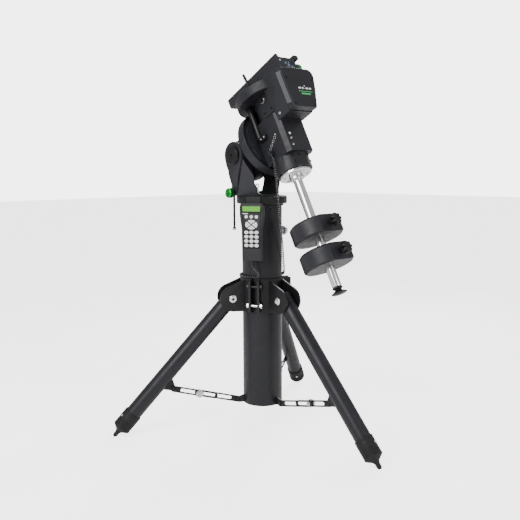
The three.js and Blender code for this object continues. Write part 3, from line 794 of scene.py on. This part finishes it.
def make_brace(n):
    sector = leg_sector(n)
    carried(f"brace_inner_bar_{n}", BLACK, 0.5)
    carried(f"brace_outer_bar_{n}", BLACK, 0.5)
    ends = (("pier", "pier", INNER_HINGE_R, INNER_HINGE_Z),
            ("leg", f"leg_{n}", OUTER_HINGE_R, OUTER_HINGE_Z))
    for label, body, r, z in ends:
        for side, y, way in (("a", 6.3, "y"), ("b", -6.6, "-y")):
            spot = turned_about(sector, r, y, z, way)
            rivet = turned([(0, -2), (6.5, -2), (6.5, 0.8), (4.6, 2.2), (0, 2.8)], 32, 0.4)
            piece(f"brace_rivet_{label}_{side}_{n}", rivet, spot, body, SATIN_BLACK)
    x = OUTER_HINGE_R - BRACE_CLAMP_REACH * math.cos(BRACE_SLOPE)
    z = OUTER_HINGE_Z - BRACE_CLAMP_REACH * math.sin(BRACE_SLOPE)
    spot = turned_about(sector, x, 0, z, "y")
    knob = turned([(0, 4.5), (9, 4.5), (9, 5.6), (13.4, 6.4, flutes(24, 0.06)),
                   (14.4, 8, flutes(24, 0.06)), (14.4, 13.2, flutes(24, 0.06)),
                   (12.6, 15.6), (7, 17), (4.2, 17.2), (3.6, 16.2), (0, 16.2)], 96, 0.3)
    shank = turned([(0, -8.8), (4.8, -8.8), (5.6, -8.2, hexagon), (5.6, -5, hexagon),
                    (8, -4.9), (8, -4.4), (3.6, -4.3), (3.6, 5), (0, 5)], 48, 0.2)
    piece(f"brace_clamp_{n}", joined(knob, shank), spot, f"brace_knob_{n}", ZINC,
          [f"brace_knob_{n}"])


# ---------------------------------------------------------------- azimuth and latitude
LATITUDE_PIVOT = shifted(PIER, 0, 37.24, 968.8)
AZIMUTH_SCREW_Y, AZIMUTH_SCREW_Z = 48, 840
LATITUDE_SCREW_Z = 843
CROSS_BAR_Y = 152              # the upright bar at the latitude screw's end


def make_azimuth():
    carried("azimuth_base", BLACK, 1.2)
    carried("alt_fork", CHARCOAL, 1.8)
    for name, side in (("east", "-x"), ("west", "x")):
        cap = turned([
            (0, 40), (16, 40), (16, 98.4), (32.5, 98.4), (32.5, 102.6), (30, 105.8), (25.5, 105.8),
            (24.8, 104.9), (24, 104.9), (23.2, 105.6), (6, 105.6), (5.4, 104.6, hexagon),
            (5.4, 101, hexagon), (0, 101)], 96, 0.5)
        spot = turned_about(LATITUDE_PIVOT, 0, 0, 0, side)
        piece(f"pivot_cover_{name}", cap, spot, "azimuth", SATIN_BLACK,
              [f"pivot_cap_{name}"])
        knob = turned([
            (0, 19.5), (4.2, 19.5), (5, 20.5), (5, 89), (8, 92), (8, 96.6), (15.2, 97.1),
            (17, 98.6, flutes(36, 0.05)), (17, 112.2, flutes(36, 0.05)), (13.4, 115),
            (9, 115), (8.2, 113.8), (0, 113.8)], 144, 0.5)
        spot = turned_about(PIER, 0, AZIMUTH_SCREW_Y, AZIMUTH_SCREW_Z, side)
        piece(f"azimuth_grip_{name}", knob, spot, f"azimuth_knob_{name}", GREEN,
              [f"azimuth_knob_{name}"])
    make_latitude_drive()
    stud = turned([(0, 834), (6.2, 834), (6.2, 848), (5.6, 849), (0, 849)], 40, 0.4)
    piece("lock_bolt", joined(stud, eye(862)), shifted(PIER, -20), "azimuth", BRIGHT)


def make_latitude_drive():
    """Latitude screw and the cross bar that turns it."""
    screw = turned([
        (0, 58), (5.4, 58), (6, 60), (8, 62), (8, 138), (13, 140), (13, 162.4), (11.4, 164),
        (0, 164)], 72, 0.6)
    bar = turned([
        (0, 700), (4.6, 700), (6, 702), (6, 709), (4, 711), (4, 851), (6, 853), (6, 858.4),
        (4.6, 860), (0, 860)], 40, 0.8)
    spot = turned_about(PIER, 0, 0, LATITUDE_SCREW_Z, "y")
    upright = shifted(PIER, 0, CROSS_BAR_Y)
    piece("latitude_drive", joined(screw, moved(bar, spot, upright)), spot, "latitude_screw",
          BLACK, ["latitude_screw"])
    tip = turned([(0, 699.6), (4.4, 699.6), (6.1, 701.2), (6.1, 706), (0, 706)], 40, 0.3)
    piece("latitude_drive_tip", tip, upright, "latitude_screw", BRIGHT)


def eye(z):
    """Small eye on a stem, the middle of its ring just above height z."""
    stem = turned([(0, 848), (3, 848), (3, z - 4), (0, z - 4)], 24, 0.2)
    ring = ringed(disc_outline(6.5, 0, 1.9, 1.9, 12), 32)
    return joined(stem, moved(ring, Matrix(), spun(shifted(Matrix(), 0, 0, z + 2), 90, "X")))


# ---------------------------------------------------------------- right ascension
def make_ra():
    carried("ra_housing", CHARCOAL, 1.0)
    for node, finish in (("ra_shaft", STEEL), ("ra_worm_wheel", BRONZE), ("ra_worm", STEEL),
                         ("ra_motor", MOTOR)):
        carried(node, finish, 0.4)
    cover = turned([(0, -2), (55, -2), (55, 0), (53.6, 1.6), (40, 2.2), (14, 2.2), (13, 0.8),
                    (0, 0.8)], 96, 0.5)
    spot = turned_about(HEAD, 0, 245, 0, "y")
    piece("polar_bore_cover", cover, spot, "ra_body", SATIN_BLACK)
    for k in range(4):
        angle = math.radians(45 + 90 * k)
        x, z = 47 * math.cos(angle), 47 * math.sin(angle)
        cap_screw(f"ra_cover_screw_{k + 1}", HEAD, x, 246.6, z, "y", "ra_body", 3.2, 1.8,
                  SATIN_BLACK)


# ---------------------------------------------------------------- declination
EAST_FACE = -57                # x of the declination body's port face
COVER_FOOT = 14                # z at the foot of the motor cover's front face
COVER_FRONT = 145              # and how far that foot stands in front of the axis
COVER_LEAN = 0.135             # the front face's slope outwards
BAND_LOW, BAND_HIGH = 27, 130  # ends of the painted reflection band
BAND_ROWS = 16


def make_dec():
    carried("dec_housing", CHARCOAL, 1.4)
    carried("dec_front_cover", CHARCOAL, 2.4, 18)
    carried("dec_turntable", BLACK, 0.8)
    for node, finish in (("dec_shaft", STEEL), ("dec_worm_wheel", BRONZE), ("dec_worm", STEEL),
                         ("dec_motor", MOTOR)):
        carried(node, finish, 0.4)
    # pale band on the motor cover that is painted reflection
    make_painted_reflection()
    make_cable_cover()
    make_ports()
    make_front_marks()
    make_collar_knobs()
    make_worm_block()


def on_node(node, start, way):
    """Where a ray in the head frame (mm) meets a CAD node, in the head frame (mm)."""
    obj = NODES[node]
    into = obj.matrix_world.inverted() @ HEAD
    origin = into @ (Vector(start) * MM)
    found, spot, _normal, _face = obj.ray_cast(origin, into.to_3x3() @ Vector(way))
    return (into.inverted() @ spot) / MM if found else Vector(start)


def make_painted_reflection():
    """Painted reflection: a pale band along the sloping east side of the motor cover, laid on its
    surface, standing in for the key light's reflection there.
    """
    bm = bmesh.new()
    rows = []
    for k in range(BAND_ROWS):
        u = BAND_LOW + (BAND_HIGH - BAND_LOW) * k / (BAND_ROWS - 1)
        back = 118 + 0.125 * (u - 12)
        front = COVER_FRONT + COVER_LEAN * (u - COVER_FOOT)
        row = []
        for share in (0.1, 0.34, 0.58, 0.8):
            p = back + (front - back) * share
            spot = on_node("dec_front_cover", (-120, -p, u + 9 * (1 - share)), (1, 0, 0))
            row.append((spot + Vector((-0.9, -0.5, 0)), spot + Vector((2, 1.5, 0))))
        top = [bm.verts.new(outer * MM) for outer, _ in row]
        under = [bm.verts.new(inner * MM) for _, inner in reversed(row)]
        rows.append(top + under)
    count = len(rows[0])
    for first, second in zip(rows, rows[1:]):
        for k in range(count):
            j = (k + 1) % count
            bm.faces.new((first[k], first[j], second[j], second[k]))
    closed(bm, rows[0], rows[-1])
    # this band is painted reflection of the key light, not a real panel
    piece("cover_painted_reflection", bm, HEAD, "dec_body", PAINTED_REFLECTION)


def make_cable_cover():
    """Half-round duct down the east side of the declination body, with a foot at its end."""
    duct = prism(disc_outline(-58, 42, 10, 11, 28), -6, 128, 3)
    foot = block((-68, -57), (8, 42), (-16, 2), 3.5, 3)
    saddle = block((-66, -57), (34, 50), (118, 131), 2, 2)
    piece("cable_cover", joined(duct, foot, saddle), HEAD, "dec_body", SATIN_BLACK)
    for k, (y, u) in enumerate(((14, -7), (30, -7))):
        cap_screw(f"cable_cover_screw_{k + 1}", HEAD, -67.6, y, u, "-x", "dec_body", 2.4, 1.4)


def make_ports():
    """Sockets and their labels on the east face of the declination body; a near-black disc in each
    opening is painted shade.
    """
    face = turned_about(HEAD, EAST_FACE, 0, 0, "-x")
    # in this frame z stands out of the face; its x and y are worked out from the head's axes
    out = face.inverted() @ HEAD

    def on_face(p, u):
        spot = out @ Vector((EAST_FACE * MM, -p * MM, u * MM))
        return spot.x / MM, spot.y / MM

    for k, (p, u) in enumerate(((22, -30), (10, -38), (-2, -46), (-14, -54))):
        x, y = on_face(p, u)
        shell = turned([(0, -1), (5.4, -1), (5.4, 1.6), (3.9, 1.6), (3.9, 0.2), (0, 0.2)], 32, 0.2)
        spot = shifted(face, x, y)
        piece(f"port_ring_{k + 1}", shell, spot, "dec_body", ZINC)
        # painted shade in the socket's opening
        opening_shade = turned([(0, 0.2), (3.7, 0.2), (3.7, 0.9), (0, 0.9)], 24, 0.1)
        piece(f"port_opening_shade_{k + 1}", opening_shade, spot, "dec_body", SOCKET_SHADE)
        lx, ly = on_face(p + 6.5, u + 8)
        printed(f"port_label_{k + 1}", bar_outline(lx - 3.2, ly - 1, lx + 3.2, ly + 1, 0.6),
                face, "dec_body", INK_WHITE, z0=0.05, z1=0.35)


def make_front_marks():
    """Generic printed marks on the motor cover, and the small switch and lamps below it."""
    cover = shifted(HEAD, 0, -COVER_FRONT, COVER_FOOT)
    cover = cover @ Matrix.Rotation(math.atan(COVER_LEAN), 4, "X")
    # in this frame x runs west, y up the cover, z out of it
    face = spun(cover, 90, "X")
    bars = ((-14, -2), (1, 9), (12, 15), (18, 30), (33, 44))
    for k, (x0, x1) in enumerate(bars):
        printed(f"cover_mark_{k + 1}", bar_outline(x0, 61, x1, 66.5, 2.2), face, "dec_body",
                INK_WHITE)
    printed("cover_mark_top", bar_outline(12, 70, 18, 73, 1.4), face, "dec_body", INK_WHITE)
    for name, outline in (("cover_stripe", bar_outline(-16, 51.5, 46, 53.5, 0.9)),
                          ("cover_stripe_low", bar_outline(-6, 42, 36, 47, 2.2))):
        printed(name, outline, face, "dec_body", INK_GREEN)
    for k, (x, y) in enumerate(((-44, 10), (46, 10), (-58, 96), (58, 96))):
        cap_screw(f"cover_screw_{k + 1}", face, x, y, 0, "z", "dec_body", 3.0, 1.6, SATIN_BLACK)
    front = spun(shifted(HEAD, 0, -66), 90, "X")
    for k, (x, y, r) in enumerate(((-30, -38, 3.2), (-31, -55, 2.6), (-32, -79, 2.4))):
        lens = turned([(0, -1), (r + 1, -1), (r + 1, 0.6), (r, 0.8), (r * 0.7, 1.5), (0, 1.9)],
                      28, 0.2)
        piece(f"body_lamp_{k + 1}", lens, shifted(front, x, y), "dec_body",
              INK_WHITE if k == 0 else ZINC)


def make_collar_knobs():
    """Black screws round the lower collar of the declination body."""
    for k, (x, u) in enumerate(((-37, -110), (-17, -112), (-35, -132), (20, -112), (38, -130))):
        angle = math.atan2(x, math.sqrt(62 ** 2 - x ** 2))
        way = (math.sin(angle), -math.cos(angle), 0)
        spot = turned_about(HEAD, 61.6 * way[0], 61.6 * way[1], u, way)
        piece(f"collar_screw_{k + 1}", joined(washer(5, 0.4), socket_head(3.8, 2.6)), spot,
              "dec_body", SATIN_BLACK)


def make_worm_block():
    """Adjuster ring and cover screws on the block between the body and the saddle disc."""
    spot = turned_about(HEAD, -60, -28, 106, "-x")
    ring = ringed(disc_outline(7.5, 0, 2.3, 2.3, 12), 40)
    base = washer(8.5, 1.2)
    bmesh.ops.translate(ring, verts=ring.verts, vec=(0, 0, 3.5 * MM))
    piece("worm_adjuster", joined(base, ring, socket_head(3.4, 5)), spot, "dec_body",
          SATIN_BLACK)
    rim = ringed([(9.6, -0.5), (10.6, -0.5), (10.6, 0.7), (10.2, 1.0), (9.6, 1.0)], 48)
    piece("worm_adjuster_rim", rim, spot, "dec_body", ZINC)
    for k, (y, z) in enumerate(((-22, 60), (-54, 60))):
        cap_screw(f"worm_block_screw_{k + 1}", HEAD, -60, y, z, "-x", "dec_body", 3.4, 2.4,
                  SATIN_BLACK)
    cap_screw("box_screw", HEAD, -54.64, -77, 28, "-x", "dec_body", 3.4, 1.2)


# ---------------------------------------------------------------- counterweights
FLANGE_SCREWS_R = 40
WEIGHTS = (("upper", -360.15), ("lower", -456.65))     # z of each weight's middle


def make_counterweights():
    flange = turned([(0, -151), (55, -151), (55, -158.6), (53.6, -160), (25, -160), (24, -161),
                     (24, -173.6), (22.6, -175), (16, -175), (15.6, -174), (0, -174)], 120, 0.5)
    piece("bar_flange", flange, HEAD, "dec_body", STEEL, ["shaft_flange"])
    for k in range(6):
        angle = math.radians(60 * k + 30)
        x, y = FLANGE_SCREWS_R * math.cos(angle), FLANGE_SCREWS_R * math.sin(angle)
        spot = turned_about(HEAD, x, y, -159.9, "-z")
        piece(f"flange_screw_{k + 1}", socket_head(4.2, 2.6), spot, "dec_body", ZINC)
    bar = turned([(0, -555), (13.6, -555), (15.5, -553), (15.5, -152), (0, -152)], 96, 0.6)
    piece("polished_bar", bar, HEAD, "dec_body", BRIGHT, ["counterweight_shaft"])
    cap = turned([
        (0, -580.3), (12, -580.3), (13, -579.2), (19.6, -579.2), (26, -576.3, flutes(48, 0.03)),
        (26, -573.6, flutes(48, 0.03)), (12.4, -566.8), (11, -563.6), (16.6, -560.4),
        (17, -556, flutes(48, 0.02)), (15.4, -555.3), (0, -555.3)], 144, 0.4)
    piece("bar_end_stop", cap, HEAD, "shaft_end_cap", SATIN_BLACK,
          ["shaft_end_cap"])
    for name, middle in WEIGHTS:
        carried(f"counterweight_{name}", WEIGHT, 1.4, 30)
        knob = turned([
            (0, 17), (5.2, 17), (6, 18), (6, 70.3), (9.4, 70.6), (9.4, 80), (14, 82),
            (20.2, 84.5, lobes(7, 0.36)), (20.2, 99, lobes(7, 0.36)), (17, 104, lobes(7, 0.3)),
            (9, 105.4), (7.6, 103.6), (0, 103.6)], 112, 0.6)
        spot = turned_about(HEAD, 0, 0, middle, "-y")
        piece(f"weight_grip_{name}", knob, spot, f"counterweight_knob_{name}", PLASTIC,
              [f"counterweight_knob_{name}"])


# ---------------------------------------------------------------- saddle
SADDLE_END = -139              # y of the plate's front end
CLAMP_SCREW_Y, CLAMP_SCREW_Z = 105, 191


def make_saddle():
    carried("saddle_plate", CHARCOAL, 0.9)
    carried("saddle_jaw", BLACK, 0.9)
    for name, y in (("front", -CLAMP_SCREW_Y), ("rear", CLAMP_SCREW_Y)):
        knob = turned([
            (0, 20), (5, 20), (6, 21.4), (6, 58.4), (9, 58.8), (9, 66), (12.6, 66.6),
            (15, 68.4, lobes(8, 0.16)), (15, 83.4, lobes(8, 0.16)), (12.4, 86.6), (6, 87),
            (5.2, 85.8, hexagon), (5.2, 83.6, hexagon), (0, 83.6)], 128, 0.5)
        spot = turned_about(HEAD, 0, y, CLAMP_SCREW_Z, "x")
        piece(f"saddle_grip_{name}", knob, spot, f"saddle_knob_{name}", GREEN,
              [f"saddle_knob_{name}"])
    for k, y in enumerate((-60, -20, 20, 60)):
        cap_screw(f"saddle_floor_screw_{k + 1}", HEAD, -2, y, 200.2, "z", "dec_rotor", 5.0, 1.2)
    for k, (x, u) in enumerate(((-34, 189), (24, 189))):
        cap_screw(f"saddle_end_screw_{k + 1}", HEAD, x, SADDLE_END, u, "-y", "dec_rotor", 3.0, 1.2,
                  SATIN_BLACK if k else ZINC)
    front = turned_about(HEAD, 0, SADDLE_END, 0, "-y")
    out = front.inverted() @ HEAD
    for k, (x, u, half) in enumerate(((-12, 181, 4.5), (0, 174, 5.5), (14, 169, 4), (2, 184, 3))):
        spot = out @ Vector((x * MM, SADDLE_END * MM, u * MM)) / MM
        printed(f"saddle_end_mark_{k + 1}", disc_outline(spot.x, spot.y, half, half, 20), front,
                "dec_rotor", INK_BLUE, z0=-0.5, z1=0.2)
    make_clutch_arm()


def make_clutch_arm():
    """Declination clutch: hub, flat arm and a rod to pull on."""
    base = turned_about(HEAD, 0, -5, 172, "-x")
    hub = turned([(0, 46.3), (8, 46.3), (8, 61), (7, 62), (4.4, 62), (4, 61.2, hexagon),
                  (4, 58.6, hexagon), (0, 58.6)], 60, 0.4)
    arm = moved(block((-84, -60), (-18, 0), (166.5, 174), 1.6, 3), base, HEAD)
    rod = turned([(0, -3), (2.8, -3), (3.2, 6), (4.8, 9), (4.8, 44), (3.4, 46), (0, 46.2)],
                 40, 0.6)
    rod = moved(rod, base, spun(shifted(HEAD, -80, -13, 172), -8, "X"))
    piece("clutch_arm", joined(hub, arm, rod), base, "dec_clutch_lever", SATIN_BLACK,
          ["dec_clutch_lever"])


# ---------------------------------------------------------------- handset
HANDSET_FACE = 114             # x of the handset's front face
HANDSET_CABLE = 103            # and of the cable's entry
PAD_Y = 736                    # middle of the direction pad
KEY_COLUMNS = (-18, 0, 18)
KEY_ROW_PITCH = 14.7


def make_handset():
    carried("handset_body", SHELL, 3.0, 30)
    carried("handset_bracket", BLACK, 0.8)
    glass = shifted(HANDSET, HANDSET_FACE)
    face = glass @ axes_frame((0, 0, 0), Vector((0, 1, 0)), UP, WEST)
    # in this frame x runs across the handset, y up it, z out of it
    bezel = prism(bar_outline(-36.5, 775.5, 36.5, 802.5, 5), -1, 0.7, 0.5)
    piece("display_bezel", bezel, face, "azimuth", PLASTIC)
    window = prism(bar_outline(-31, 780.5, 31, 797.5, 1.2), -1, 0.95, 0.15, 1)
    piece("display_window", moved(window, glass, face), glass, "azimuth", DISPLAY)
    printed("display_mark", bar_outline(-31, 771.8, -12, 774.4, 0.9), face, "azimuth", INK_WHITE,
            z0=-0.3, z1=0.3)
    make_keys(face)
    gland = turned([(0, 595), (5.2, 595), (5.2, 600), (6, 601), (6, 616), (0, 616)], 36, 0.5)
    piece("handset_gland", gland, shifted(HANDSET, HANDSET_CABLE), "azimuth", PLASTIC)


def key_cap(x, y, rx, ry, height=1.6):
    """Domed key, oval in plan."""
    outline = disc_outline(0, 0, 1, 1, 32)
    bm = bmesh.new()
    loops = []
    for grow, z in ((1, -2.2), (1, height - 0.9), (0.95, height - 0.35), (0.82, height - 0.08),
                    (0.5, height)):
        loops.append([bm.verts.new(((x + px * rx * grow) * MM, (y + py * ry * grow) * MM, z * MM))
                      for px, py in outline])
    for first, second in zip(loops, loops[1:]):
        stitch(bm, first, second)
    return closed(bm, loops[0], loops[-1])


def make_keys(face):
    mat = prism(bar_outline(-30.5, 655.5, 30.5, 771.5, 3), -2.4, -0.8, 0.3)
    piece("keypad_mat", mat, face, "keypad", PLASTIC, ["handset_keypad"])
    keys = [(x, 762.5, 5.5, 5.5) for x in KEY_COLUMNS]
    keys += [(x, 710 - KEY_ROW_PITCH * row, 7.5, 5.6) for row in range(4) for x in KEY_COLUMNS]
    for k, (x, y, rx, ry) in enumerate(keys):
        piece(f"key_{k + 1}", key_cap(x, y, rx, ry), face, "keypad", KEY)
        dot = prism(bar_outline(x - 1.6, y - 0.7, x + 1.6, y + 0.7, 0.5), 1.55, 1.72, 0.05, 1)
        piece(f"key_dot_{k + 1}", dot, face, "keypad", KEY_MARK)
    for k in range(4):
        quarter = pad_sector(0, PAD_Y, 21, 15.5, 90 * k)
        piece(f"pad_key_{k + 1}", quarter, face, "keypad", KEY)
        angle = math.radians(90 * k)
        x, y = 13.5 * math.cos(angle), PAD_Y + 9.8 * math.sin(angle)
        dot = prism(disc_outline(x, y, 1.3, 1.3, 16), 1.35, 1.72, 0.05, 1)
        piece(f"pad_dot_{k + 1}", dot, face, "keypad", KEY_MARK)


def pad_sector(x, y, rx, ry, middle):
    """Quarter of an oval pad, with a narrow gap to its neighbours."""
    edge = disc_outline(0, 0, rx, ry, 17, middle - 39, 78)
    dx, dy = 2.4 * math.cos(math.radians(middle)), 2.4 * math.sin(math.radians(middle))
    outline = [(x + dx, y + dy)]
    outline += [(x + 0.1 * dx + px, y + 0.1 * dy + py) for px, py in edge]
    outline = [(min(max(px, -rx), rx), py) for px, py in outline]
    return prism(outline, -2.2, 1.4, 0.7, 3)


make_camera()
make_cords()
make_stage()
make_pier()
for leg in LEGS:
    make_bracket(leg)
    make_pivot_bolt(leg)
    make_leg(leg)
    make_brace(leg)
make_azimuth()
make_ra()
make_dec()
make_counterweights()
make_saddle()
make_handset()
carried("cable_plug", SHELL, 1.0)
